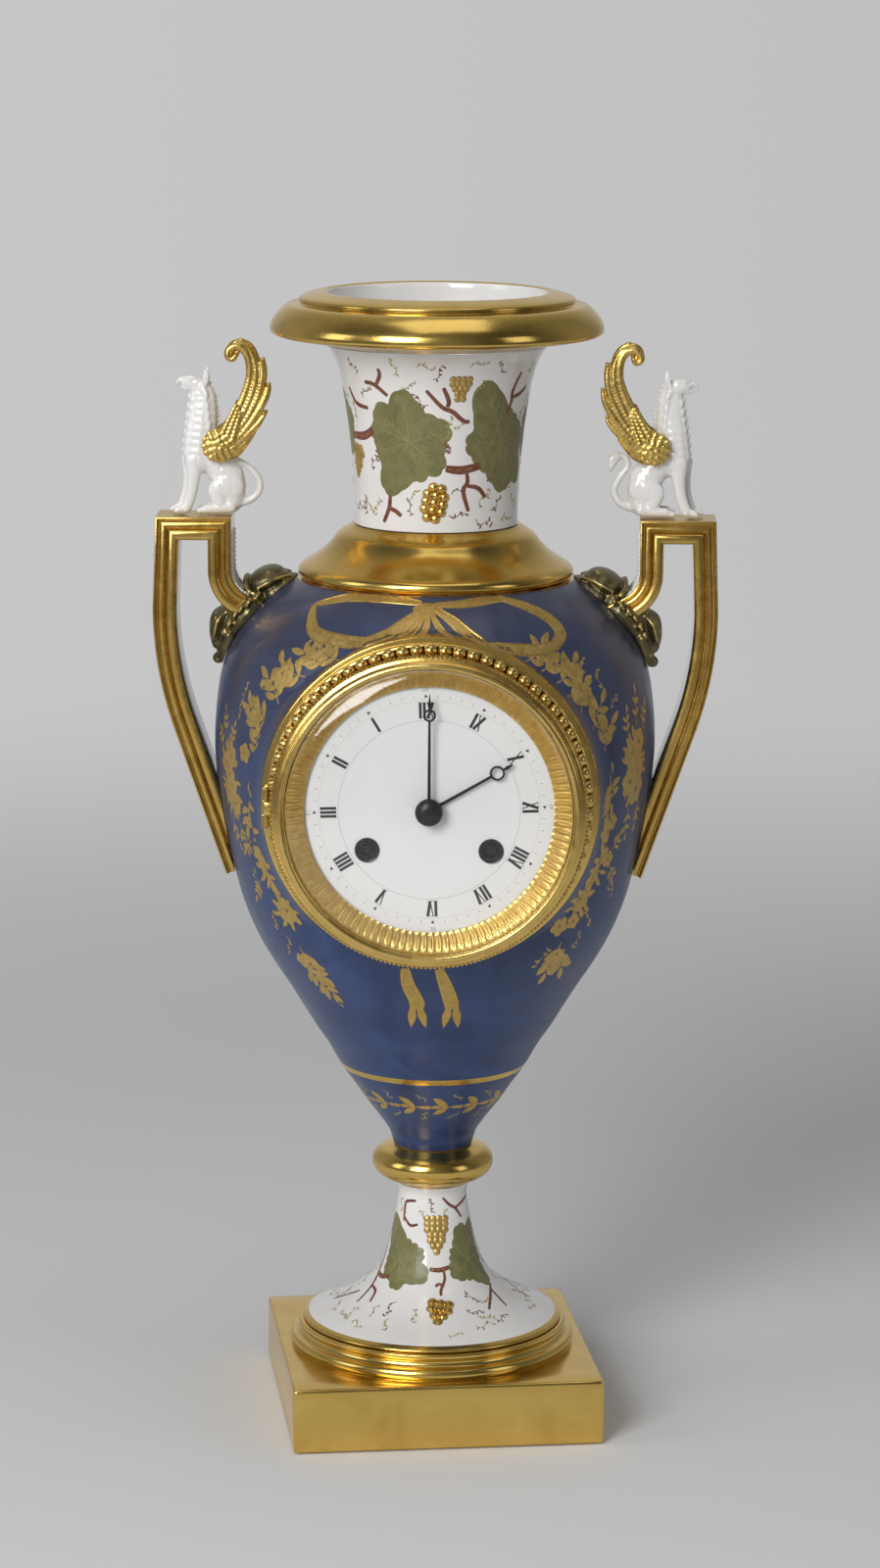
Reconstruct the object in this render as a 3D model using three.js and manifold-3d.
// Porcelain vase clock: a gilt-handled urn on a square plinth, with a round striking movement inside.
// Millimetres, +Z up, dial facing -Y, origin on the floor under the axis of the vase.
import * as THREE from 'three';
import { mergeVertices } from 'three/addons/utils/BufferGeometryUtils.js';
import Module from 'manifold-3d';

const wasm = await Module();
wasm.setup();

// Clearances
const seatGap = 0.3;          // between two pieces that rest on or in each other
const runGap = 0.3;           // round a shaft that turns in a hole
const joinLap = 0.4;          // how far one half of a single piece runs into its other half

// Plinth and foot
const plinthSide = 109.5;
const plinthHeight = 23;
const plinthTurn = 8;         // degrees that the plinth stands turned under the vase
const plinthWall = 6;
const plinthCorner = 1.6;
const stepRadius = 50.8;
const stepHeight = 9;
const footRadius = 46.3;
const footHeight = 50;
const footWaist = 12.2;
const footWall = 4;
const knopRadius = 21.6;
const knopHeight = 13.6;
const knopNeck = 13.6;

// Tie rod that clamps plinth, foot, knop and body together
const rodRadius = 3;
const rodThreadRise = 16;
const nutAcross = 5.6;
const nutHeight = 5.5;
const washerRadius = 8.6;
const washerThickness = 1.5;

// Body, collar, neck and rim
const bodyHeight = 204.2;
const bodyRadius = 77.3;
const bodyWall = 4.5;
const bodyFloor = 10;
const collarHeight = 18.5;
const collarInset = 0.5;      // collar's edge inside the edge of the body's mouth
const collarWall = 4;
const neckHeight = 61.9;
const neckRadius = 28.5;
const neckFlare = 10.4;
const neckWall = 3.6;
const rimHeight = 18;
const rimRadius = 57.8;
const rimMouth = 37.5;

// Front and back openings of the case, on one axis across the body
const dialRise = 136.5;       // from the foot of the body up to the dial's centre
const caseBore = 45.5;
const bossRadius = 57;
const bossFace = 66.7;
const beadCircle = 52.2;
const beadRadius = 2.3;
const beadCount = 68;
const ringRadius = 55.4;
const ringThickness = 4.5;
const sleeveWall = 1.5;
const sleeveLength = 6.5;
const bezelRadius = 53;
const bezelDepth = 12.9;
const bezelBack = 49.3;
const bezelBore = 44.3;
const glassRadius = 48.3;
const glassThickness = 1.2;
const glassRise = 5.2;
const sightInner = 42;
const sightThickness = 0.8;
const hingeReach = 54.9;
const hingeRadius = 1.5;
const hingePinRadius = 0.65;
const hingeLeaf = 4;
const hingeOpen = 4.4;
const hingeInset = 3.9;       // hinge axis in front of the bezel's back face

// Dial and hands
const dialRadius = 43.6;
const dialThickness = 1.2;
const dialCrown = 0.8;
const dialHole = 3.4;
const windingSpan = 41.6;
const windingDrop = 13.9;
const windingHole = 4.25;
const minuteLength = 40;
const hourLength = 32.3;
const handWidth = 1;
const handThickness = 0.6;
const minuteRingAt = 32.8;    // centre of the open ring, out from the dial's centre
const minuteRing = 2.15;
const hourRingAt = 26.2;
const hourRing = 2.55;
const hubRadius = 4.7;
const hubHeight = 3;
const minuteTurn = 0;
const hourTurn = -60;

// Movement
const plateRadius = 43.3;
const backPlateRadius = 41;
const plateThickness = 2;
const plateSpace = 38;        // between the two plates
const motionSpace = 8.5;      // between dial plate and front plate
const pillarRadius = 2;
const pillarCircle = 39;
const pillarAngles = [41, 139, -90];
const arborRadius = 0.9;
const centreArborRadius = 1.1;
const cannonRadius = 1.7;
const hourPipeRadius = 2.7;
const windingArborRadius = 2;
const windingSquare = 3;
const barrelDrum = 16.2;
const barrelLength = 14;
const wheelThickness = 1.4;
const barrelTeeth = 36;
const secondPlace = [19.5, 6.3];
const secondPinionTeeth = 6;
const secondWheelTeeth = 30;
const centrePinionTeeth = 6;
const centreWheelTeeth = 30;
const thirdPinionTeeth = 6;
const thirdWheelTeeth = 30;
const escapePinionTeeth = 6;
const thirdPlace = [-10, 14];
const escapePlace = [0, 27.5];
const escapeRadius = 8;
const escapeTeeth = 20;
const cannonTeeth = 6;
const minuteWheelTeeth = 18;
const minutePinionTeeth = 6;
const hourWheelTeeth = 24;
const motionDistance = 12;
const ratchetRadius = 6.5;
const ratchetTeeth = 14;
const anchorRise = 9.5;       // anchor arbor above the escape wheel
const crutchLength = 21;
const pendulumLength = 82;
const pendulumRodRadius = 0.75;
const bobRadius = 11;
const bobThickness = 5;
const countPlace = [-19, 13];
const countRadius = 11.5;
const countNotch = 1.6;
const bellPlace = [0, -8];
const bellRadius = 27;
const bellDepth = 14;
const bellWall = 1.2;
const bellStandPlace = [17, -33];
const hammerPlace = [-33.5, 4];
const hammerLength = 18;
const hammerHead = 2.4;
const strapWidth = 8;
const strapThickness = 1.6;

// Handles, masks and griffins
const handleDepth = 17;
const handleWidth = 8.6;
const handleClear = 15.9;     // from the widest part of the body out to the outer arm's centre line
const handleSpan = 18.2;      // between the centre lines of the two arms
const handleRise = 21.3;      // from the top of the body up to the platform
const handleFootRise = 100.3; // from the foot of the body up to the lower end
const handleFootSink = 1.1;   // from the body's skin in to the lower end's centre line
const handleSlope = 19.2;     // degrees that the lower arm leans in
const handleBend = 125;       // radius of its long curve
const handleCurl = 13;        // radius of the inner arm's curl to the body
const handleRib = 1.3;
const maskDrop = 12.7;        // from the top of the body down to the middle of the mask
const maskStand = 3.6;
const maskLength = 34;
const griffinHeight = 49.4;
const wingOffset = 4.6;
const wingThickness = 2.4;

// Roundness of the turned pieces
const vaseSides = 24;
const ringSides = 24;
const smallSides = 8;
const facetTolerance = 0.1;  // facets flatter than this are merged

const deg = THREE.MathUtils.degToRad;
const V2 = (x, y) => new THREE.Vector2(x, y);
const V3 = (x, y, z) => new THREE.Vector3(x, y, z);

// Heights of the stacked pieces
const plinthTop = plinthHeight + stepHeight;
const footBottom = plinthTop + seatGap;
const footTop = footBottom + footHeight;
const knopBottom = footTop + seatGap;
const knopTop = knopBottom + knopHeight;
const bodyBottom = knopTop + seatGap;
const bodyTop = bodyBottom + bodyHeight;
const collarBottom = bodyTop + seatGap;
const collarTop = collarBottom + collarHeight;
const neckBottom = collarTop + seatGap;
const neckTop = neckBottom + neckHeight;
const rimBottom = neckTop + seatGap;
const rimTop = rimBottom + rimHeight;
const dialCentre = bodyBottom + dialRise;

// Depths along Y, counted from the front face of the boss towards the viewer
const ringBack = -(bossFace + seatGap);
const ringFace = ringBack - ringThickness;
const bezelBackFace = ringFace - 2 * seatGap;
const bezelFace = bezelBackFace - bezelDepth;
const sightFront = bezelFace + 2.3;
const dialFace = bezelBackFace - 4.9;
const dialBack = dialFace + dialThickness;
const dialPlateFront = dialBack + seatGap;
const dialPlateBack = dialPlateFront + 0.9;
const frontPlateFront = dialPlateBack + motionSpace;
const frontPlateBack = frontPlateFront + plateThickness;
const backPlateFront = frontPlateBack + plateSpace;
const backPlateBack = backPlateFront + plateThickness;

// Joining and cutting

function toSolid(geometry) {
  const bare = geometry.clone();
  bare.deleteAttribute('normal');
  bare.deleteAttribute('uv');
  const merged = mergeVertices(bare, 1e-4);
  const place = merged.getAttribute('position').array;
  const index = merged.getIndex().array;
  const corners = [];
  let volume = 0;
  for (let i = 0; i < index.length; i += 3) {
    const [a, b, c] = [index[i], index[i + 1], index[i + 2]];
    if (a === b || b === c || c === a) continue;
    corners.push(a, b, c);
    const p = V3().fromArray(place, 3 * a);
    const q = V3().fromArray(place, 3 * b);
    const r = V3().fromArray(place, 3 * c);
    volume += p.dot(q.cross(r));
  }
  if (volume < 0) corners.reverse();
  return new wasm.Manifold(new wasm.Mesh({
    numProp: 3,
    vertProperties: new Float32Array(place),
    triVerts: new Uint32Array(corners),
  }));
}

function toGeometry(solid) {
  const mesh = solid.getMesh();
  const geometry = new THREE.BufferGeometry();
  geometry.setAttribute('position', new THREE.BufferAttribute(mesh.vertProperties, 3));
  geometry.setIndex(new THREE.BufferAttribute(mesh.triVerts, 1));
  geometry.computeVertexNormals();
  return geometry;
}

function join(...geometries) {
  return toGeometry(geometries.map(toSolid).reduce((all, one) => all.add(one)));
}

function cut(geometry, ...tools) {
  return toGeometry(tools.map(toSolid).reduce((left, tool) => left.subtract(tool), toSolid(geometry)));
}

// Shapes turned, drawn and swept

// A profile of [radius, height] points turned about Z.
function turned(profile, sides = vaseSides) {
  const points = profile.map(([radius, height]) => V2(radius, height));
  return new THREE.LatheGeometry(points, sides).rotateX(Math.PI / 2);
}

// A closed profile of [radius, height] points turned about Z, with a hole down its middle.
function turnedRing(profile, sides = vaseSides) {
  return turned([...profile, profile[0]], sides);
}

// A profile of [radius, depth] points turned about the dial's axis.
function turnedDeep(profile, sides = ringSides, x = 0, z = 0) {
  const points = profile.map(([radius, depth]) => V2(radius, depth));
  return new THREE.LatheGeometry(points, sides).translate(x, 0, z);
}

function turnedDeepRing(profile, sides = ringSides, x = 0, z = 0) {
  return turnedDeep([...profile, profile[0]], sides, x, z);
}

// A round bar along Y from one depth to another.
function bar(radius, from, to, sides = smallSides, x = 0, z = 0) {
  return turnedDeep([[0, from], [radius, from], [radius, to], [0, to]], sides, x, z);
}

// A round bar along Z.
function post(radius, from, to, sides = smallSides) {
  return turned([[0, from], [radius, from], [radius, to], [0, to]], sides);
}

// A drawn outline in X and Z, given its thickness along Y.
function slab(shape, from, to, steps = 6) {
  const geometry = new THREE.ExtrudeGeometry(shape, {
    depth: to - from,
    bevelEnabled: false,
    curveSegments: steps,
  });
  return geometry.rotateX(Math.PI / 2).translate(0, to, 0);
}

function block(x0, x1, y0, y1, z0, z1) {
  const geometry = new THREE.BoxGeometry(x1 - x0, y1 - y0, z1 - z0);
  return geometry.translate((x0 + x1) / 2, (y0 + y1) / 2, (z0 + z1) / 2);
}

function ellipsoid(centre, size, tilt = 0, sides = 6, rings = 4) {
  const geometry = new THREE.SphereGeometry(1, sides, rings);
  geometry.rotateX(Math.PI / 2).scale(...size);
  return geometry.rotateY(deg(tilt)).translate(...centre);
}

// A tube of even radius through a few points.
function wire(points, radius, steps, sides = 6) {
  const path = new THREE.CatmullRomCurve3(points.map((point) => V3(...point)));
  const section = new THREE.Shape();
  section.absarc(0, 0, radius, 0, 2 * Math.PI);
  return new THREE.ExtrudeGeometry(section, {
    extrudePath: path,
    steps,
    curveSegments: sides / 2,
  });
}

// Points of a profile moved square to it: outwards for a positive distance.
function offset(profile, distance) {
  return profile.map(([radius, height], i) => {
    const [r0, h0] = profile[Math.max(i - 1, 0)];
    const [r1, h1] = profile[Math.min(i + 1, profile.length - 1)];
    const length = Math.hypot(r1 - r0, h1 - h0);
    return [radius + distance * (h1 - h0) / length, height - distance * (r1 - r0) / length];
  });
}

// The radius of a profile at a height.
function radiusAt(profile, height) {
  const i = profile.findIndex(([, h]) => h >= height);
  const [r0, h0] = profile[i - 1];
  const [r1, h1] = profile[i];
  return r0 + (r1 - r0) * (height - h0) / (h1 - h0);
}

// A smooth profile through [share of height, radius] points.
function smooth(points, bottom, height, count) {
  const curve = new THREE.SplineCurve(points.map(([share, radius]) => V2(radius, bottom + share * height)));
  return curve.getPoints(count).map((point) => [point.x, point.y]);
}

// A point on a circle in the dial's plane.
function onCircle(radius, angle, x = 0, z = 0) {
  return V2(x + radius * Math.cos(angle), z + radius * Math.sin(angle));
}

// Points round a circle in the dial's plane.
function circlePoints(radius, sides, x = 0, z = 0) {
  return Array.from({ length: sides }, (_, i) => onCircle(radius, 2 * Math.PI * i / sides, x, z));
}

const disc = (radius, sides) => new THREE.Shape(circlePoints(radius, sides));
const circleHole = (radius, x = 0, z = 0) => new THREE.Path(circlePoints(radius, smallSides, x, z));

// A gear's outline: pointed teeth on a pitch circle. A pinion's few teeth have a flat root between them.
function toothed(teeth, pitchRadius, phase = 0) {
  const size = 2 * pitchRadius / teeth;
  const tip = pitchRadius + 0.75 * size;
  const root = pitchRadius - 0.95 * size;
  const pitch = 2 * Math.PI / teeth;
  const corners = teeth > 12 ? [[tip, 0], [root, 0.5]] : [[root, -0.27], [tip, 0], [root, 0.27]];
  const points = [];
  for (let i = 0; i < teeth; i += 1) {
    for (const [radius, lean] of corners) points.push(onCircle(radius, phase + (i + lean) * pitch));
  }
  return new THREE.Shape(points);
}

// A wheel whose teeth all lean one way, as on a ratchet or an escape wheel.
function raked(teeth, radius, depth) {
  const pitch = 2 * Math.PI / teeth;
  const points = [];
  for (let i = 0; i < teeth; i += 1) {
    points.push(onCircle(radius, i * pitch), onCircle(radius - depth, (i + 0.35) * pitch));
  }
  return new THREE.Shape(points);
}

// Materials

const finish = (color, roughness, metalness) =>
  new THREE.MeshStandardMaterial({ color, roughness, metalness });
const gilding = finish(0xb08a3c, 0.28, 0.9);
const whiteGlaze = finish(0xf1ede6, 0.15, 0);
const blueGround = finish(0x26386f, 0.35, 0);
const giltBronze = finish(0xa9853a, 0.3, 1);
const patina = finish(0x5b5236, 0.5, 0.7);
const brass = finish(0xb8963f, 0.3, 1);
const steel = finish(0x8d9095, 0.35, 1);
const blackSteel = finish(0x16161a, 0.3, 0.8);
const iron = finish(0x4a4744, 0.6, 0.8);
const enamel = finish(0xf4f3ef, 0.2, 0);
const bellMetal = finish(0xc9b27a, 0.25, 1);
const glass = new THREE.MeshStandardMaterial({
  color: 0xe8f0f0,
  roughness: 0.05,
  metalness: 0,
  transparent: true,
  opacity: 0.3,
});

const clock = new THREE.Group();
const plinthGroup = new THREE.Group();
plinthGroup.rotation.z = deg(plinthTurn);
const dialGroup = new THREE.Group();
dialGroup.position.z = dialCentre;
const backGroup = new THREE.Group();
backGroup.rotation.z = Math.PI;
dialGroup.add(backGroup);
clock.add(plinthGroup, dialGroup);

function place(parent, name, geometry, material) {
  const mesh = new THREE.Mesh(toGeometry(toSolid(geometry).simplify(facetTolerance)), material);
  mesh.name = name;
  parent.add(mesh);
  return mesh;
}

// Plinth: a hollow square box with a stepped round on top

function plinth() {
  const half = plinthSide / 2;
  const corner = plinthCorner;
  const outline = new THREE.Shape();
  outline.moveTo(half - corner, -half);
  outline.absarc(half - corner, -half + corner, corner, -Math.PI / 2, 0);
  outline.absarc(half - corner, half - corner, corner, 0, Math.PI / 2);
  outline.absarc(-half + corner, half - corner, corner, Math.PI / 2, Math.PI);
  outline.absarc(-half + corner, -half + corner, corner, Math.PI, 1.5 * Math.PI);
  const box = new THREE.ExtrudeGeometry(outline, {
    depth: plinthHeight,
    bevelEnabled: false,
    curveSegments: 3,
  });
  const waist = stepRadius - 3.6;
  const top = plinthTop;
  const step = turned([
    [0, plinthHeight - joinLap],
    [stepRadius - 0.8, plinthHeight - joinLap],
    [stepRadius, plinthHeight + 1.6],
    [stepRadius - 0.8, plinthHeight + 3.4],
    [waist + 0.8, plinthHeight + 4.2],
    [waist, plinthHeight + 6],
    [waist + 0.6, top - 1.6],
    [waist + 0.6, top],
    [0, top],
  ]);
  const inner = half - plinthWall;
  const hollow = block(-inner, inner, -inner, inner, -1, plinthHeight - plinthWall);
  return cut(join(box, step), hollow, post(rodRadius + 2 * runGap, 0, top + 1));
}

// Foot: a bell-shaped pedestal, thin walled and open below

function foot() {
  const outer = smooth([
    [0.025, footRadius - 0.8], [0.06, footRadius - 4], [0.125, footRadius - 11.5], [0.215, footWaist + 14.8],
    [0.315, footWaist + 8.6], [0.435, footWaist + 5.1], [0.62, footWaist + 1.9], [0.84, footWaist],
    [1, footWaist + 1.2],
  ], footBottom, footHeight, 7);
  const inner = offset(outer, -footWall).filter(([, height], i) => height > footBottom && i % 2 === 1);
  inner[inner.length - 1][1] = footTop;
  const rim = [footRadius, footBottom];
  const skirt = [inner[0][0] - 0.2, footBottom];
  return turnedRing([rim, [footRadius, footBottom + 0.8], ...outer, ...inner.reverse(), skirt]);
}

function knop() {
  const bore = rodRadius + 2 * runGap;
  const h = knopHeight;
  return turnedRing([
    [bore, knopBottom],
    [knopNeck, knopBottom],
    [knopNeck + 3.4, knopBottom + 0.13 * h],
    [knopRadius - 1, knopBottom + 0.32 * h],
    [knopRadius, knopBottom + 0.5 * h],
    [knopRadius - 0.6, knopBottom + 0.7 * h],
    [knopRadius - 2.6, knopBottom + 0.88 * h],
    [knopNeck + 1, knopTop],
    [bore, knopTop],
  ], 20);
}

// Body: an egg-shaped shell with a round boss front and back

const bodyOutline = smooth([
  [0, 0.181 * bodyRadius], [0.0245, 0.198 * bodyRadius], [0.081, 0.307 * bodyRadius],
  [0.164, 0.459 * bodyRadius], [0.29, 0.66 * bodyRadius], [0.43, 0.862 * bodyRadius],
  [0.57, 0.957 * bodyRadius], [0.7175, bodyRadius], [0.81, 0.981 * bodyRadius],
  [0.889, 0.909 * bodyRadius], [0.948, 0.8 * bodyRadius], [1, 0.627 * bodyRadius],
], bodyBottom, bodyHeight, 12);
const bodyMouth = bodyOutline[bodyOutline.length - 1][0];
const collarRadius = bodyMouth - collarInset;

function bodyFilled(grow) {
  const skin = offset(bodyOutline, grow);
  return turned([[0, bodyBottom], ...skin, [0, skin[skin.length - 1][1]]]);
}

function boss() {
  const wide = bossRadius + 4;
  return turnedDeepRing([
    [caseBore, -bossFace],
    [bossRadius, -bossFace],
    [bossRadius + 1.4, -bossFace + 4.5],
    [wide, -bossFace + 14],
    [caseBore, -bossFace + 16.5],
  ], ringSides, 0, dialCentre);
}

function body() {
  const floor = bodyBottom + bodyFloor;
  const lining = offset(bodyOutline, -bodyWall).filter(([, height], i) => height > floor + 5 && i % 2 === 1);
  const well = radiusAt(bodyOutline, floor) - bodyWall;
  const hollow = turned([
    [0, floor], [well, floor], ...lining,
    [bodyMouth - bodyWall, bodyTop - 0.5], [bodyMouth - bodyWall, bodyTop + 1], [0, bodyTop + 1],
  ]);
  const shell = cut(bodyFilled(0), hollow, post(rodRadius + 2 * runGap, bodyBottom - 1, floor + 1));
  const backBoss = boss().rotateZ(Math.PI);
  const beyond = bodyRadius + 5;
  const bore = bar(caseBore, -beyond, beyond, ringSides, 0, dialCentre);
  const frontFlat = bar(bossRadius + 3, -beyond, -bossFace, ringSides, 0, dialCentre);
  const backFlat = bar(bossRadius + 3, bossFace, beyond, ringSides, 0, dialCentre);
  return cut(join(shell, boss(), backBoss), bore, frontFlat, backFlat);
}

function collar() {
  const low = collarBottom;
  const h = collarHeight;
  const bore = neckRadius - neckWall;
  return turnedRing([
    [collarRadius - 1.7, low],
    [collarRadius, low + 0.11 * h],
    [collarRadius - 1.5, low + 0.24 * h],
    [neckRadius + 10, low + 0.53 * h],
    [neckRadius + 5, low + 0.86 * h],
    [neckRadius + 0.6, collarTop],
    [bore, collarTop],
    [bore, low + 0.8 * h],
    [collarRadius - 8 - collarWall, low + 0.2 * h],
    [collarRadius - 5 - collarWall, low],
  ]);
}

const neckOutline = smooth([
  [0, 0], [0.18, 0], [0.4, 0.1], [0.62, 0.25], [0.8, 0.46], [0.93, 0.72], [1, 1],
].map(([share, flare]) => [share, neckRadius + flare * neckFlare]), neckBottom, neckHeight, 6);

function neck() {
  const third = neckOutline.filter((_, i) => i % 3 === 0);
  const inner = third.map(([radius, height]) => [radius - neckWall, height]);
  return turnedRing([...neckOutline, ...inner.reverse()]);
}

function rim() {
  const low = rimBottom;
  const h = rimHeight;
  return turnedRing([
    [neckRadius + neckFlare - neckWall, low],
    [neckRadius + neckFlare, low],
    [rimRadius - 8, low + 0.15 * h],
    [rimRadius - 1, low + 0.22 * h],
    [rimRadius, low + 0.3 * h],
    [rimRadius - 1, low + 0.44 * h],
    [rimRadius - 2.8, low + 0.6 * h],
    [rimRadius - 6.5, low + 0.77 * h],
    [rimRadius - 10.6, low + 0.79 * h],
    [rimRadius - 9.8, low + 0.87 * h],
    [rimMouth + 6, low + 0.96 * h],
    [rimMouth + 2, rimTop],
    [rimMouth, rimTop - 0.8],
    [rimMouth - 0.4, low + 0.5 * h],
  ]);
}

place(plinthGroup, 'plinth', plinth(), gilding);
place(clock, 'foot', foot(), whiteGlaze);
place(clock, 'knop_ring', knop(), gilding);
place(clock, 'body', body(), blueGround);
place(clock, 'shoulder_collar', collar(), gilding);
place(clock, 'neck', neck(), whiteGlaze);
place(clock, 'mouth_rim', rim(), gilding);

// Tie rod and its nuts

function flangedNut(seat, direction) {
  const bore = rodRadius + runGap;
  const washer = seat + direction * washerThickness;
  const end = washer + direction * nutHeight;
  const hexagon = new THREE.Shape();
  for (let i = 0; i < 6; i += 1) {
    const angle = i * Math.PI / 3;
    const corner = V2(nutAcross * Math.cos(angle), nutAcross * Math.sin(angle));
    if (i === 0) hexagon.moveTo(corner.x, corner.y);
    else hexagon.lineTo(corner.x, corner.y);
  }
  const low = Math.min(washer - direction * joinLap, end);
  const high = Math.max(washer - direction * joinLap, end);
  const nut = new THREE.ExtrudeGeometry(hexagon, { depth: high - low, bevelEnabled: false });
  const flange = post(washerRadius, Math.min(seat, washer), Math.max(seat, washer), 20);
  const hole = post(bore, Math.min(seat, end) - 1, Math.max(seat, end) + 1);
  return cut(join(nut.translate(0, 0, low), flange), hole);
}

const lowerSeat = plinthHeight - plinthWall - seatGap;
const upperSeat = bodyBottom + bodyFloor + seatGap;
const lowerEnd = lowerSeat - washerThickness - nutHeight;
place(clock, 'tie_rod', post(rodRadius, lowerEnd - 2, upperSeat + rodThreadRise), iron);
place(clock, 'lower_nut', flangedNut(lowerSeat, -1), iron);
place(clock, 'upper_nut', flangedNut(upperSeat, 1), iron);

// Handles: one moulded bar, bent and mitred, that springs from the body twice

const handleTop = bodyTop + handleRise;
const handleFoot = bodyBottom + handleFootRise;
const handleFootReach = radiusAt(bodyOutline, handleFoot) - handleFootSink;
const handleOuter = bodyRadius + handleClear;
const handleInner = handleOuter - handleSpan;

function handlePath() {
  const lean = deg(handleSlope);
  const rise = handleBend * Math.sin(lean);
  const bendShift = handleBend * (1 - Math.cos(lean));
  const bendLow = handleFoot + (handleOuter + 1 - bendShift - handleFootReach) / Math.tan(lean);
  const bendX = handleFootReach + (bendLow - handleFoot) * Math.tan(lean);
  const points = [V2(handleFootReach, handleFoot)];
  const bendSteps = 4;
  for (let i = 0; i <= bendSteps; i += 1) {
    const angle = lean * (1 - i / bendSteps);
    const x = bendX + handleBend * (Math.cos(angle) - Math.cos(lean));
    points.push(V2(x, bendLow + rise - handleBend * Math.sin(angle)));
  }
  const platform = handleTop - handleWidth / 2;
  points.push(V2(handleOuter, platform), V2(handleInner, platform));
  const curlStart = handleTop - 19;
  const curlSteps = 3;
  for (let i = 0; i <= curlSteps; i += 1) {
    const angle = deg(62) * i / curlSteps;
    const x = handleInner - handleCurl * (1 - Math.cos(angle));
    points.push(V2(x, curlStart - handleCurl * Math.sin(angle)));
  }
  const end = points[points.length - 1];
  points.push(V2(end.x - 12 * Math.sin(deg(62)), end.y - 12 * Math.cos(deg(62))));
  return points;
}

// The strip between two offsets from the handle's centre line, with mitred corners.
function strip(path, near, far) {
  const edge = (distance) => path.map((point, i) => {
    const before = path[Math.max(i - 1, 0)];
    const after = path[Math.min(i + 1, path.length - 1)];
    const inward = i === 0 ? after.clone().sub(point) : point.clone().sub(before);
    const outward = i === path.length - 1 ? inward.clone() : after.clone().sub(point);
    const a = inward.normalize();
    const b = outward.normalize();
    const normal = V2(-a.y - b.y, a.x + b.x).normalize();
    const stretch = normal.dot(V2(-a.y, a.x));
    return point.clone().addScaledVector(normal, distance / stretch);
  });
  return new THREE.Shape([...edge(near), ...edge(far).reverse()]);
}

function handleBar(grow) {
  const path = handlePath();
  const half = handleWidth / 2 + grow;
  const deep = handleDepth / 2 + grow;
  const proud = deep + handleRib;
  const fillet = 1.5;
  const bead = 1.5;
  const core = slab(strip(path, -half, half), -deep, deep);
  if (grow > 0) return slab(strip(path, -half, half), -proud, proud);
  const outerFillet = slab(strip(path, half - fillet, half), -proud, proud);
  const innerFillet = slab(strip(path, -half, -half + fillet), -proud, proud);
  const middle = slab(strip(path, -bead, bead), -proud, proud);
  return join(core, outerFillet, innerFillet, middle);
}

function handle() {
  return cut(handleBar(0), bodyFilled(seatGap));
}

// Masks: a bearded, vine-crowned head in relief where the inner arm meets the body

function mask() {
  const drawn = 34;
  const grow = maskLength / drawn;
  const middle = bodyTop - maskDrop;
  const reach = radiusAt(bodyOutline, middle) + maskStand;
  const lean = -42;
  const angle = deg(-lean);
  // A lump placed up along the mask, out from the body and to one side.
  const lump = (up, out, side, size, sides = 6) => {
    const x = reach + grow * (out * Math.cos(angle) - up * Math.sin(angle));
    const z = middle + grow * (out * Math.sin(angle) + up * Math.cos(angle));
    return ellipsoid([x, grow * side, z], size.map((half) => grow * half), lean, sides);
  };
  const lumps = [
    lump(0, 0, 0, [8.5, 12, 17], 8),
    lump(-12, 1.5, 0, [5.5, 8.5, 7.5]),
    lump(13, 2.5, 0, [6.5, 9.5, 7]),
    lump(1, 7.5, 0, [3, 3, 6]),
  ];
  for (const side of [-1, 1]) {
    lumps.push(lump(10, 1, 10 * side, [5.5, 4.5, 6.5]));
    lumps.push(lump(-7, 2, 9 * side, [5.5, 4, 8]));
  }
  return cut(join(...lumps), bodyFilled(seatGap), handleBar(seatGap));
}

// Griffins: seated, looking out from the vase. Drawn facing +X about the middle of the platform.

function griffin() {
  const chest = 4.3;
  const wingRoot = wingOffset - seatGap;
  const parts = [
    ellipsoid([-7.5, 0, 13], [9, chest, 6.5], -38),
    ellipsoid([0.2, 0, 20], [4.6, chest, 9.5], 4),
    ellipsoid([-0.6, 0, 32.5], [4.2, 3.2, 11], -6),
    ellipsoid([-0.6, 0, 43], [4.6, 3, 3.6], 0),
    ellipsoid([3.6, 0, 43], [3.6, 1.7, 2], 18),
    ellipsoid([-11.5, 0, 6], [6.4, 4.3, 7], 0),
    bar(2.6, -wingRoot, wingRoot, smallSides, -5, 21),
  ];
  for (const side of [-1, 1]) {
    parts.push(ellipsoid([-3.2, 1.9 * side, 46], [1.1, 0.9, 3.4], -10, 6, 4));
    parts.push(ellipsoid([2.4, 2.3 * side, 9.5], [2.1, 1.8, 9.6], 5));
    parts.push(ellipsoid([5, 2.4 * side, 1.4], [3.8, 1.9, 1.9], 0));
    parts.push(ellipsoid([-6.2, 3.2 * side, 1.9], [7.6, 1.9, 2.4], 0, 5, 4));
  }
  parts.push(wire([
    [-13, 0, 3.2], [-19, 0, 2.6], [-23, 0, 7], [-21.5, 0, 12], [-16.5, 0, 15.4], [-11, 0, 16],
  ], 1.15, 9));
  return cut(join(...parts), block(-30, 30, -10, 10, -6, 0));
}

function wingOutline() {
  const scroll = new THREE.SplineCurve([
    V2(-1.8, 24), V2(-3.6, 27.6), V2(-8.5, 29), V2(-12.6, 33), V2(-15.6, 39), V2(-17.6, 45), V2(-17.8, 50),
    V2(-16, 53.4), V2(-12.9, 54.2), V2(-11.4, 52), V2(-9.6, 54.4), V2(-11.4, 57.6), V2(-16, 58.4),
    V2(-21, 56), V2(-24.2, 51), V2(-25.4, 44), V2(-25, 36), V2(-22.4, 28), V2(-17.8, 21.4),
    V2(-12.6, 17.6), V2(-7.4, 16.6), V2(-3, 19.4),
  ]);
  scroll.points.push(scroll.points[0]);
  return new THREE.Shape(scroll.getPoints(24));
}

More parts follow.
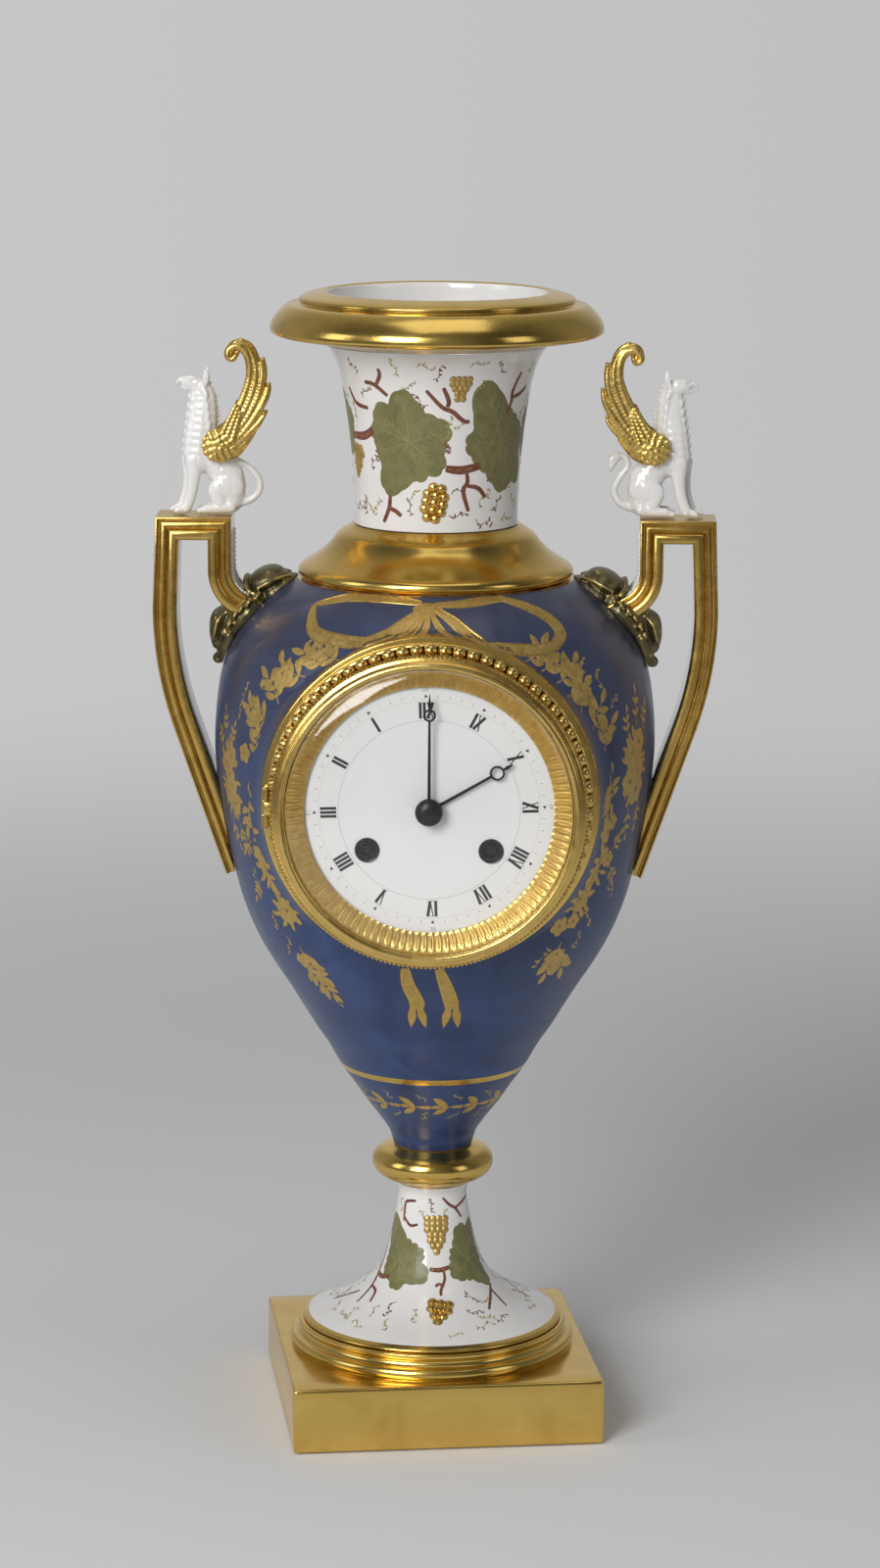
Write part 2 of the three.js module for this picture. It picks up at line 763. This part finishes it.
function wing(side) {
  const near = wingOffset;
  const far = near + wingThickness;
  const flat = slab(wingOutline(), near, far);
  const shoulder = ellipsoid([-7, near + 1.4, 22.6], [6, 2.8, 5.2], -30);
  const quill = wire([
    [-6, far, 21.5], [-13, far, 27], [-18.6, far, 36], [-20.8, far, 46], [-18, far, 54.6],
  ], 1.1, 6, 4);
  const whole = cut(join(flat, shoulder, quill), block(-40, 20, -20, near, 0, 80));
  return side > 0 ? whole : mirrored(whole, [1, -1, 1]);
}

function mirrored(geometry, scale) {
  return toGeometry(toSolid(geometry.clone().scale(...scale)));
}

// Griffins and wings are drawn at one height and scaled to the height that is asked for.
function griffinScale() {
  const drawn = 49.4;
  return griffinHeight / drawn;
}

const platformMiddle = (handleOuter + handleInner) / 2;
const sides = { right: 1, left: -1 };
const handleRight = handle();
const maskRight = mask();
const griffinRight = griffin();
for (const [name, side] of Object.entries(sides)) {
  const turn = side > 0 ? (geometry) => geometry : (geometry) => mirrored(geometry, [-1, 1, 1]);
  place(clock, `handle_${name}`, turn(handleRight), gilding);
  place(clock, `mask_${name}`, turn(maskRight), patina);
  const perch = new THREE.Group();
  perch.position.set(side * platformMiddle, 0, handleTop + seatGap);
  clock.add(perch);
  const grow = griffinScale();
  const sized = (geometry) => turn(geometry.clone().scale(grow, grow, grow));
  place(perch, `griffin_${name}`, sized(griffinRight), whiteGlaze);
  place(perch, `wing_${name}_front`, sized(wing(-1)), gilding);
  place(perch, `wing_${name}_back`, sized(wing(1)), gilding);
}

// Fixed ring, hinged bezel and glass, alike at front and back

const hingeAxisDepth = bezelBackFace - hingeInset;

function hingeBarrel(from, to) {
  return post(hingeRadius, from, to).translate(-hingeReach, hingeAxisDepth, 0);
}

function hingeBore() {
  const reach = 2 * hingeLeaf + hingeOpen;
  return post(hingePinRadius + 0.15, -reach, reach).translate(-hingeReach, hingeAxisDepth, 0);
}

function fixedRing(beads) {
  const sleeveOuter = caseBore - seatGap;
  const sleeveInner = sleeveOuter - sleeveWall;
  const seat = ringFace + 1.9;
  let ring = turnedDeepRing([
    [sleeveInner, ringBack + sleeveLength],
    [sleeveOuter, ringBack + sleeveLength],
    [sleeveOuter, ringBack],
    [ringRadius, ringBack],
    [ringRadius, seat + 0.6],
    [ringRadius - 0.6, seat],
    [bezelBack + 0.2, seat],
    [bezelBack - 0.3, ringFace],
    [sleeveInner, ringFace],
  ]);
  const half = hingeOpen / 2 + seatGap;
  const lugs = [];
  for (const side of [-1, 1]) {
    const low = Math.min(side * half, side * (half + hingeLeaf));
    const high = low + hingeLeaf;
    lugs.push(hingeBarrel(low, high));
    lugs.push(block(-hingeReach - 0.8, -hingeReach + 1.4, hingeAxisDepth, ringBack - 1, low, high));
  }
  const pearls = [];
  if (beads) {
    for (let i = 0; i < beadCount; i += 1) {
      const angle = 2 * Math.PI * (i + 0.5) / beadCount;
      const x = beadCircle * Math.cos(angle);
      const z = beadCircle * Math.sin(angle);
      const foot = seat + 0.1;
      const tip = seat - 1.6 * beadRadius;
      pearls.push(turnedDeep([[0, foot], [beadRadius, foot], [0, tip]], 4, x, z));
    }
  }
  ring = join(ring, ...lugs, ...pearls);
  return cut(ring, hingeBore());
}

function bezel() {
  const back = bezelBackFace;
  const face = bezelFace;
  const ring = turnedDeepRing([
    [bezelBore, back],
    [bezelBack, back],
    [bezelBack, back - 4.3],
    [bezelRadius, back - 6.6],
    [bezelRadius, face + 1.8],
    [bezelRadius - 2, face],
    [glassRadius + seatGap, face + 0.9],
    [glassRadius + seatGap, sightFront + 1.4],
    [bezelBore, back - 5.6],
  ]);
  const half = hingeOpen / 2;
  const leaf = block(-hingeReach, -bezelRadius + 1.5, hingeAxisDepth - 2.6, hingeAxisDepth - 1, -half, half);
  const link = block(-hingeReach - 0.7, -hingeReach + 0.9, hingeAxisDepth - 2.6, hingeAxisDepth, -half, half);
  return cut(join(ring, leaf, link, hingeBarrel(-half, half)), hingeBore());
}

function sightRing() {
  const front = sightFront + seatGap;
  const inner = dialFace - seatGap;
  return turnedDeepRing([
    [glassRadius, front],
    [sightInner, inner - sightThickness],
    [sightInner, inner],
    [glassRadius, front + sightThickness],
  ], ringSides);
}

function domedGlass() {
  const edge = bezelFace + 2;
  const crown = (radius) => glassRise * (1 - (radius / glassRadius) ** 2);
  const radii = [0, 0.55, 1].map((share) => share * glassRadius);
  const front = radii.map((radius) => [radius, edge - glassThickness - crown(radius)]);
  const back = radii.map((radius) => [radius, edge - crown(radius)]);
  return turnedDeep([...front, ...back.reverse()], ringSides);
}

function hingePin() {
  const reach = hingeOpen / 2 + seatGap + hingeLeaf + 0.6;
  return post(hingePinRadius, -reach, reach).translate(-hingeReach, hingeAxisDepth, 0);
}

place(dialGroup, 'bead_ring', fixedRing(true), giltBronze);
place(dialGroup, 'front_bezel', bezel(), giltBronze);
place(dialGroup, 'sight_ring', sightRing(), giltBronze);
place(dialGroup, 'front_glass', domedGlass(), glass);
place(dialGroup, 'bezel_hinge_pin', hingePin(), steel);
place(backGroup, 'back_ring', fixedRing(false), giltBronze);
place(backGroup, 'back_door', bezel(), giltBronze);
place(backGroup, 'back_glass', domedGlass(), glass);
place(backGroup, 'door_hinge_pin', hingePin(), steel);

// Dial and dial plate

const windingX = windingSpan / 2;
const windingHoles = (radius, from, to) => [-1, 1].map((side) =>
  bar(radius, from, to, smallSides, side * windingX, -windingDrop));

function dial() {
  const face = turnedDeepRing([
    [dialHole, dialBack],
    [dialRadius, dialBack],
    [dialRadius, dialFace + 0.4],
    [0.66 * dialRadius, dialFace - 0.5 * dialCrown + 0.2],
    [dialHole, dialFace - dialCrown / 2],
  ]);
  return cut(face, ...windingHoles(windingHole, dialFace - 2, dialBack + 1));
}

function dialPlate() {
  const shape = disc(dialRadius - 0.4, ringSides);
  shape.holes.push(circleHole(dialHole + 0.6));
  for (const side of [-1, 1]) shape.holes.push(circleHole(windingHole + 0.6, side * windingX, -windingDrop));
  const feet = pillarAngles.map((angle) => {
    const x = (pillarCircle - 1) * Math.cos(deg(angle));
    const z = (pillarCircle - 1) * Math.sin(deg(angle));
    return bar(1.4, dialPlateBack - joinLap, frontPlateFront - seatGap, 8, x, z);
  });
  return join(slab(shape, dialPlateFront, dialPlateBack), ...feet);
}

place(dialGroup, 'dial', dial(), enamel);
place(dialGroup, 'dial_plate', dialPlate(), brass);

// Hands: a thin stem, an open ring and a leaf tip

function hand(length, ringAt, ringRadius, hub, bore, front) {
  const stem = handWidth / 2;
  const steps = 10;
  const shape = new THREE.Shape();
  shape.moveTo(stem, 0);
  shape.lineTo(stem * 0.8, ringAt);
  shape.lineTo(0, length);
  shape.lineTo(-stem * 0.8, ringAt);
  shape.lineTo(-stem, 0);
  shape.closePath();
  const back = front + handThickness;
  const boss = bar(hub, front, back, 12);
  const loop = bar(ringRadius, front, back, steps, 0, ringAt);
  const eye = bar(ringRadius - 0.7, front - 1, back + 1, steps, 0, ringAt);
  return cut(join(slab(shape, front, back), boss, loop), eye, bar(bore, front - 1, back + 1, 12));
}

const hourHandFront = dialFace - dialCrown / 2 - 1.7;
const minuteHandFront = hourHandFront - 1.9;
const hubFront = minuteHandFront - seatGap - hubHeight;

const minuteGroup = new THREE.Group();
minuteGroup.rotation.y = -deg(minuteTurn);
const hourGroup = new THREE.Group();
hourGroup.rotation.y = -deg(hourTurn);
dialGroup.add(minuteGroup, hourGroup);
const minuteHand = hand(minuteLength, minuteRingAt, minuteRing, 3.2, cannonRadius + seatGap, minuteHandFront);
const hourHand = hand(hourLength, hourRingAt, hourRing, 4.2, hourPipeRadius + seatGap, hourHandFront);
place(minuteGroup, 'minute_hand', minuteHand, blackSteel);
place(hourGroup, 'hour_hand', hourHand, blackSteel);

function handNut() {
  const back = minuteHandFront - seatGap;
  const bore = centreArborRadius + runGap;
  return turnedDeepRing([
    [bore, back],
    [hubRadius, back],
    [hubRadius * 0.94, back - 0.45 * hubHeight],
    [hubRadius * 0.7, back - 0.8 * hubHeight],
    [bore, hubFront],
  ], 16);
}

place(minuteGroup, 'hand_nut', handNut(), blackSteel);

// Motion work between the dial plate and the front plate

const cannonRadiusPitch = motionDistance * cannonTeeth / (cannonTeeth + minuteWheelTeeth);
const minuteWheelPitch = motionDistance - cannonRadiusPitch;
const minutePinionPitch = motionDistance * minutePinionTeeth / (minutePinionTeeth + hourWheelTeeth);
const hourWheelPitch = motionDistance - minutePinionPitch;
const studRadius = 0.8;
const lowWheelBack = frontPlateFront - 0.8;
const lowWheelFront = lowWheelBack - wheelThickness;
const highWheelBack = lowWheelFront - 1;
const highWheelFront = highWheelBack - wheelThickness;

function cannonPinion() {
  const pinion = slab(toothed(cannonTeeth, cannonRadiusPitch), lowWheelFront, lowWheelBack);
  const pipe = bar(cannonRadius, minuteHandFront, lowWheelBack, 12);
  return cut(join(pinion, pipe), bar(centreArborRadius + runGap, minuteHandFront - 1, lowWheelBack + 1, 12));
}

function hourWheel() {
  const wheel = slab(toothed(hourWheelTeeth, hourWheelPitch), highWheelFront, highWheelBack);
  const pipe = bar(hourPipeRadius, hourHandFront, highWheelBack, 16);
  return cut(join(wheel, pipe), bar(cannonRadius + runGap, hourHandFront - 1, highWheelBack + 1, 12));
}

function minuteWheel() {
  const halfTooth = Math.PI / minuteWheelTeeth;
  const wheel = slab(toothed(minuteWheelTeeth, minuteWheelPitch, halfTooth), lowWheelFront, lowWheelBack);
  const upTooth = Math.PI / minutePinionTeeth;
  const pinion = slab(toothed(minutePinionTeeth, minutePinionPitch, upTooth), highWheelFront - 0.4,
    lowWheelFront + joinLap);
  const hole = bar(studRadius + runGap, highWheelFront - 2, lowWheelBack + 1, 8);
  return cut(join(wheel, pinion), hole).translate(motionDistance, 0, 0);
}

place(minuteGroup, 'cannon_pinion', cannonPinion(), steel);
place(dialGroup, 'hour_wheel', hourWheel(), brass);
place(dialGroup, 'minute_wheel', minuteWheel(), brass);

// Plates, pillars and straps

function frontPlate() {
  const shape = disc(plateRadius, ringSides);
  shape.holes.push(circleHole(centreArborRadius + runGap));
  for (const side of [-1, 1]) {
    shape.holes.push(circleHole(windingArborRadius + runGap, side * windingX, -windingDrop));
  }
  const stud = bar(studRadius, highWheelFront - 0.8, frontPlateFront + joinLap, 8, motionDistance, 0);
  return join(slab(shape, frontPlateFront, frontPlateBack), stud);
}

const anchorPlace = [escapePlace[0], escapePlace[1] + anchorRise];

function backPlate() {
  const shape = disc(backPlateRadius, ringSides);
  shape.holes.push(circleHole(arborRadius + runGap, ...anchorPlace));
  shape.holes.push(circleHole(arborRadius + runGap, ...countPlace));
  return slab(shape, backPlateFront, backPlateBack);
}

function pillar(angle) {
  const x = pillarCircle * Math.cos(deg(angle));
  const z = pillarCircle * Math.sin(deg(angle));
  const from = frontPlateBack + seatGap;
  const to = backPlateFront - seatGap;
  const wide = pillarRadius * 1.15;
  return turnedDeep([
    [0, from], [wide, from], [wide, from + 2], [pillarRadius * 0.75, from + 3.5],
    [pillarRadius, (from + to) / 2],
    [pillarRadius * 0.75, to - 3.5], [wide, to - 2], [wide, to], [0, to],
  ], 8, x, z);
}

place(dialGroup, 'front_plate', frontPlate(), brass);
place(dialGroup, 'back_plate', backPlate(), brass);
pillarAngles.forEach((angle, i) => place(dialGroup, `pillar_${i + 1}`, pillar(angle), brass));

function strap(side) {
  const outer = caseBore - seatGap - sleeveWall - 2 * seatGap;
  const from = frontPlateBack + seatGap;
  const to = -ringBack - sleeveLength + 5;
  const inner = outer - strapThickness;
  const low = Math.min(side * inner, side * outer);
  return block(low, low + strapThickness, from, to, -strapWidth / 2, strapWidth / 2);
}

place(dialGroup, 'strap_right', strap(1), brass);
place(dialGroup, 'strap_left', strap(-1), brass);

// Spring barrels and winding arbors

// Two meshing gears: their pitch radii and the direction from the first to the second.
function mesh(from, to, teethFrom, teethTo) {
  const distance = Math.hypot(to[0] - from[0], to[1] - from[1]);
  const driver = distance * teethFrom / (teethFrom + teethTo);
  const angle = Math.atan2(to[1] - from[1], to[0] - from[0]);
  return { driver, driven: distance - driver, angle, facing: angle + Math.PI + Math.PI / teethTo };
}

const goingPlace = [windingX, -windingDrop];
const barrelMesh = mesh(goingPlace, secondPlace, barrelTeeth, secondPinionTeeth);
const barrelFront = frontPlateBack + 3;
const barrelBack = barrelFront + barrelLength;

function barrel(x, rimFront, phase) {
  const drum = bar(barrelDrum, barrelFront, barrelBack, 16);
  const rim = slab(toothed(barrelTeeth, barrelMesh.driver, phase), rimFront, rimFront + wheelThickness);
  const hole = bar(windingArborRadius + runGap, barrelFront - 1, barrelBack + 1, 12);
  return cut(join(drum, rim), hole).translate(x, 0, -windingDrop);
}

function windingArbor(x) {
  const half = windingSquare / 2;
  const squareFront = dialFace + 0.9;
  const ratchetBack = frontPlateFront - seatGap;
  const square = block(-half, half, squareFront, dialPlateBack + 1, -half, half);
  const shaft = bar(windingArborRadius, dialPlateBack + 1 - joinLap, backPlateFront - seatGap, 12);
  const ratchet = slab(raked(ratchetTeeth, ratchetRadius, 1), ratchetBack - wheelThickness, ratchetBack);
  return join(square, shaft, ratchet).translate(x, 0, -windingDrop);
}

const barrelRimBack = barrelBack - wheelThickness;
place(dialGroup, 'going_barrel', barrel(windingX, barrelRimBack, barrelMesh.angle), brass);
place(dialGroup, 'going_arbor', windingArbor(windingX), steel);
place(dialGroup, 'strike_barrel', barrel(-windingX, barrelFront, 0), brass);
place(dialGroup, 'strike_arbor', windingArbor(-windingX), steel);

// Going train

const centrePlace = [0, 0];
const pinionSpare = 0.6;      // how far a pinion is longer than its wheel at each end
const secondMesh = mesh(secondPlace, centrePlace, secondWheelTeeth, centrePinionTeeth);
const centreMesh = mesh(centrePlace, thirdPlace, centreWheelTeeth, thirdPinionTeeth);
const thirdMesh = mesh(thirdPlace, escapePlace, thirdWheelTeeth, escapePinionTeeth);
const secondFront = barrelBack + 1.2;
const centreFront = secondFront + wheelThickness + 1.4;
const thirdFront = centreFront + wheelThickness + 4.6;
const escapeFront = thirdFront + wheelThickness + 4;
const escapeBack = escapeFront + 1;

const arborFrom = frontPlateBack + seatGap;
const arborTo = backPlateFront - seatGap;

// A wheel, and the pinion that its driver turns, on one arbor.
function arborSet(wheel, wheelFront, wheelBack, pinion, driverFront, arbor = arborRadius, from = arborFrom) {
  const leaves = slab(pinion, driverFront - pinionSpare, driverFront + wheelThickness + pinionSpare);
  return join(bar(arbor, from, arborTo), slab(wheel, wheelFront, wheelBack), leaves);
}

function secondWheel() {
  const wheel = toothed(secondWheelTeeth, secondMesh.driver, secondMesh.angle);
  const pinion = toothed(secondPinionTeeth, barrelMesh.driven, barrelMesh.facing);
  return arborSet(wheel, secondFront, secondFront + wheelThickness, pinion, barrelRimBack);
}

function centreWheel() {
  const wheel = toothed(centreWheelTeeth, centreMesh.driver, centreMesh.angle);
  const pinion = toothed(centrePinionTeeth, secondMesh.driven, secondMesh.facing);
  return arborSet(wheel, centreFront, centreFront + wheelThickness, pinion, secondFront,
    centreArborRadius, hubFront + 0.6);
}

function thirdWheel() {
  const wheel = toothed(thirdWheelTeeth, thirdMesh.driver, thirdMesh.angle);
  const pinion = toothed(thirdPinionTeeth, centreMesh.driven, centreMesh.facing);
  return arborSet(wheel, thirdFront, thirdFront + wheelThickness, pinion, centreFront);
}

function escapeWheel() {
  const pinion = toothed(escapePinionTeeth, thirdMesh.driven, thirdMesh.facing);
  return arborSet(raked(escapeTeeth, escapeRadius, 1.1), escapeFront, escapeBack, pinion, thirdFront);
}

place(dialGroup, 'second_wheel', secondWheel().translate(secondPlace[0], 0, secondPlace[1]), brass);
place(dialGroup, 'centre_wheel', centreWheel(), brass);
place(dialGroup, 'third_wheel', thirdWheel().translate(thirdPlace[0], 0, thirdPlace[1]), brass);
place(dialGroup, 'escape_wheel', escapeWheel().translate(escapePlace[0], 0, escapePlace[1]), brass);

// Anchor, crutch, pendulum and its cock

const pendulumDepth = backPlateBack + 5;

function anchor() {
  const shape = new THREE.Shape();
  shape.moveTo(-7.4, -3.9);
  shape.quadraticCurveTo(-5.6, 1.2, 0, 1.8);
  shape.quadraticCurveTo(5.6, 1.2, 7.4, -3.9);
  shape.lineTo(6.8, -3.9);
  shape.quadraticCurveTo(4.4, -0.9, 0, -0.6);
  shape.quadraticCurveTo(-4.4, -0.9, -6.8, -3.9);
  shape.closePath();
  const pallets = slab(shape, escapeFront, escapeBack, 4);
  const arbor = bar(arborRadius, arborFrom, backPlateBack + 2.4, 8);
  const crutchFront = backPlateBack + 1.2;
  const arm = block(-0.8, 0.8, crutchFront, crutchFront + 1.2, -crutchLength, 0);
  const yoke = block(-2.2, 2.2, crutchFront, pendulumDepth - 1.4, -crutchLength, -crutchLength + 1.6);
  const tines = [-1, 1].map((side) => {
    const low = side > 0 ? pendulumRodRadius + runGap : -pendulumRodRadius - runGap - 1;
    return block(low, low + 1, pendulumDepth - 1.8, pendulumDepth + 1.4, -crutchLength, -crutchLength + 1.6);
  });
  return join(pallets, arbor, arm, yoke, ...tines).translate(anchorPlace[0], 0, anchorPlace[1]);
}

function suspensionCock() {
  const from = backPlateBack + seatGap;
  const low = anchorPlace[1] + 1.4;
  return block(-5, 5, from, pendulumDepth + 3, low, low + 2.8);
}

const pendulumTop = anchorPlace[1] + 1.1;
const bobCentre = anchorPlace[1] - pendulumLength;

function pendulumRod() {
  const top = pendulumTop;
  const rod = post(pendulumRodRadius, bobCentre - bobRadius - 5, top, 8);
  const nut = post(2.2, bobCentre - bobRadius - 4, bobCentre - bobRadius - 1.6, 10);
  return join(rod, nut).translate(0, pendulumDepth, 0);
}

function pendulumBob() {
  const half = bobThickness / 2;
  const lens = turnedDeep([
    [0, -half], [0.6 * bobRadius, -0.8 * half], [bobRadius, -0.25 * half],
    [bobRadius, 0.25 * half], [0.6 * bobRadius, 0.8 * half], [0, half],
  ], 18);
  const hole = post(pendulumRodRadius + runGap, -bobRadius - 1, bobRadius + 1, 8);
  return cut(lens, hole).translate(0, pendulumDepth, bobCentre);
}

place(dialGroup, 'anchor', anchor(), steel);
place(dialGroup, 'suspension_cock', suspensionCock(), brass);
place(dialGroup, 'pendulum_rod', pendulumRod(), brass);
place(dialGroup, 'pendulum_bob', pendulumBob(), brass);

// Striking work: count wheel, bell on its stand, hammer

function countWheel() {
  const shape = new THREE.Shape();
  const step = 2 * Math.PI / 90;
  let blow = 0;
  const deep = countRadius - countNotch;
  const point = (radius, at) => [radius * Math.cos(at * step), radius * Math.sin(at * step)];
  shape.moveTo(...point(deep, 0));
  for (let hour = 1; hour <= 12; hour += 1) {
    shape.lineTo(...point(deep, blow + 1));
    shape.lineTo(...point(countRadius, blow + 1.1));
    blow += hour + 1;
    shape.lineTo(...point(countRadius, blow - 0.1));
    if (hour < 12) shape.lineTo(...point(deep, blow));
  }
  shape.closePath();
  const front = backPlateBack + 1.2;
  const wheel = slab(shape, front, front + 1.2, 1);
  const arbor = bar(arborRadius, backPlateFront - 4, front + 2.4, 8);
  return join(wheel, arbor).translate(countPlace[0], 0, countPlace[1]);
}

const bellMouth = pendulumDepth + 6;
const bellTop = bellMouth + bellDepth;

function bell() {
  const dome = (radius, top) => [1, 0.93, 0.65, 0.16].map((share) =>
    [share * radius, bellMouth + (top - bellMouth) * Math.sqrt(1 - share * share)]);
  const outer = dome(bellRadius, bellTop);
  const inner = dome(bellRadius - bellWall, bellTop - bellWall);
  const hole = arborRadius + runGap;
  return turnedDeepRing([...outer, [hole, bellTop], [hole, bellTop - bellWall], ...inner.reverse()], 16,
    bellPlace[0], bellPlace[1]);
}

function bellStand() {
  const [x, z] = bellStandPlace;
  const tip = bellTop + 2.6;
  const from = backPlateBack + seatGap;
  const arm = wire([
    [x, from, z],
    [x, bellMouth, z],
    [x, bellTop - 3, z],
    [x - 4, tip, z + 8],
    [bellPlace[0], tip, bellPlace[1]],
  ], 1.5, 10, 6);
  const screw = bar(arborRadius, bellTop - 3, tip + 2, 8, ...bellPlace);
  const nut = bar(2.6, bellTop + seatGap, tip, 10, ...bellPlace);
  const footing = bar(3, from, from + 1.6, 12, x, z);
  return join(arm, screw, nut, footing);
}

function hammer() {
  const arbor = bar(arborRadius, backPlateBack + seatGap, bellMouth + 2, 8);
  const arm = block(-0.7, 0.7, bellMouth - 0.6, bellMouth + 0.8, -hammerLength, 0);
  const head = bar(hammerHead, bellMouth - 1.6, bellMouth + 3.4, 12, 0, -hammerLength);
  return join(arbor, arm, head).translate(hammerPlace[0], 0, hammerPlace[1]);
}

place(dialGroup, 'count_wheel', countWheel(), brass);
place(dialGroup, 'bell', bell(), bellMetal);
place(dialGroup, 'bell_stand', bellStand(), steel);
place(dialGroup, 'hammer', hammer(), steel);

export default clock;
